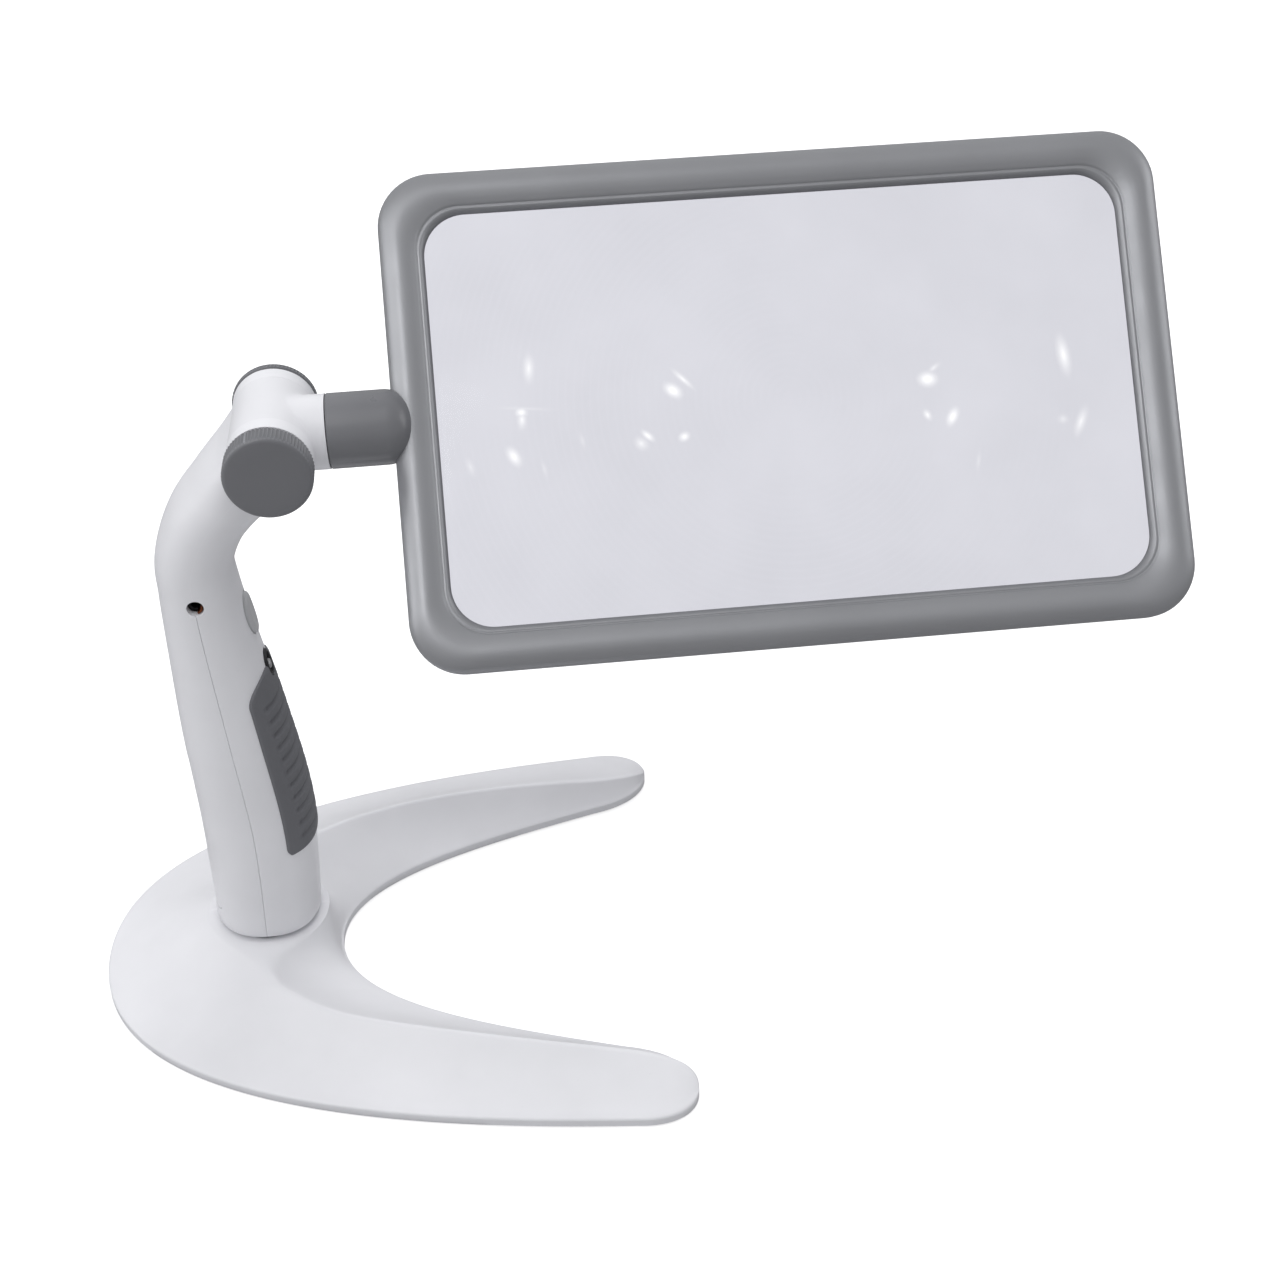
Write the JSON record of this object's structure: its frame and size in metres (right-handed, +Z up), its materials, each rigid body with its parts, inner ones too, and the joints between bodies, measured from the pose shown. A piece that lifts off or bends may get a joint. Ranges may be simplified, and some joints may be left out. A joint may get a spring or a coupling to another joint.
{
  "type": "low vision magnifier",
  "caption": "Large rectangular lighted reading lens in a grey frame, swivelling on a tilting arm with a clamp knob, on a white grip handle that lifts out of a crescent desk stand.",
  "frame": {"origin": "on the table, under the middle of the whole part, with the stand symmetric about Y = 0", "axes": "+X from the handle over the stand towards the lens frame and the open side of the stand, +Y from the clamp knob to the plain end cap along the tilt axis, +Z up"},
  "size_m": [0.3238, 0.1742, 0.2508],
  "materials": {
    "white_plastic": "fine satin moulded ABS",
    "grey_plastic": "mid-grey moulded plastic, satin",
    "silver_plastic": "satin silver-grey paint on plastic",
    "grip_rubber": "dark grey soft rubber",
    "black_plastic": "black moulded plastic",
    "board_green": "solder-masked circuit board",
    "cell_wrap": "printed battery sleeve, no lettering",
    "clear_lens": "clear polished acrylic",
    "frosted_window": "frosted clear strip",
    "steel": "plain steel"
  },
  "bodies": {
    "base": {"base_shell": "white_plastic", "base_plate": "black_plastic", "base_weight_front": "steel", "base_weight_rear": "steel", "base_screw_1": "steel", "base_screw_2": "steel", "base_screw_3": "steel", "rubber_foot_1": "grip_rubber", "rubber_foot_2": "grip_rubber", "rubber_foot_3": "grip_rubber", "rubber_foot_4": "grip_rubber"},
    "handle": {"handle_front_shell": "white_plastic", "handle_rear_shell": "white_plastic", "grip_pad": "grip_rubber", "switch_surround": "black_plastic", "handle_plug": "grey_plastic", "battery_carrier": "black_plastic", "contact_spring": "steel", "circuit_board": "board_green", "button_switch": "black_plastic", "slide_switch_body": "steel", "dc_jack": "black_plastic", "hinge_bolt": "steel", "end_cap": "grey_plastic", "friction_washer_front": "steel", "friction_washer_rear": "steel", "battery_cell_1": "cell_wrap", "battery_cell_2": "cell_wrap", "battery_cell_3": "cell_wrap"},
    "battery_door": {"battery_door": "white_plastic"},
    "power_button": {"power_button": "grey_plastic"},
    "brightness_slider": {"brightness_slider": "steel"},
    "tension_knob": {"tension_knob": "grey_plastic"},
    "arm": {"arm_hub": "white_plastic", "swivel_bush": "black_plastic"},
    "lens_frame": {"swivel_shaft": "steel", "retaining_clip": "steel", "swivel_sleeve": "grey_plastic", "frame_bezel": "silver_plastic", "frame_back": "silver_plastic", "lens": "clear_lens", "led_board_left": "board_green", "led_board_right": "board_green", "led_window_left": "frosted_window", "led_window_right": "frosted_window", "frame_screw_1": "steel", "frame_screw_2": "steel", "frame_screw_3": "steel", "frame_screw_4": "steel", "frame_screw_5": "steel", "frame_screw_6": "steel"}
  },
  "joints": [
    {"name": "handle_lift", "type": "slide", "parent": "base", "child": "handle", "axis": [0, 0, 1], "range_m": [0, 0.03]},
    {"name": "arm_tilt", "type": "hinge", "parent": "handle", "child": "arm", "pos_m": [-0.08988, 0, 0.189], "axis": [0, -1, 0], "range_deg": [-30, 80]},
    {"name": "frame_swivel", "type": "hinge", "parent": "arm", "child": "lens_frame", "pos_m": [-0.08988, 0, 0.189], "axis": [0.9997, 0, 0.0262], "range_deg": [-141, 38]},
    {"name": "knob_turn", "type": "hinge", "parent": "handle", "child": "tension_knob", "pos_m": [-0.08988, 0, 0.189], "axis": [0, -1, 0], "range_deg": [-270, 45]},
    {"name": "button_press", "type": "slide", "parent": "handle", "child": "power_button", "axis": [-0.9964, 0, -0.0852], "range_m": [0, 0.0012], "stiffness_N_per_m": 900, "springref_m": -0.001},
    {"name": "brightness_slide", "type": "slide", "parent": "handle", "child": "brightness_slider", "axis": [-0.0952, 0, 0.9955], "range_m": [-0.0006, 0.0018]},
    {"name": "door_lift", "type": "slide", "parent": "handle", "child": "battery_door", "axis": [-1, 0, 0], "range_m": [0, 0.012]}
  ]
}
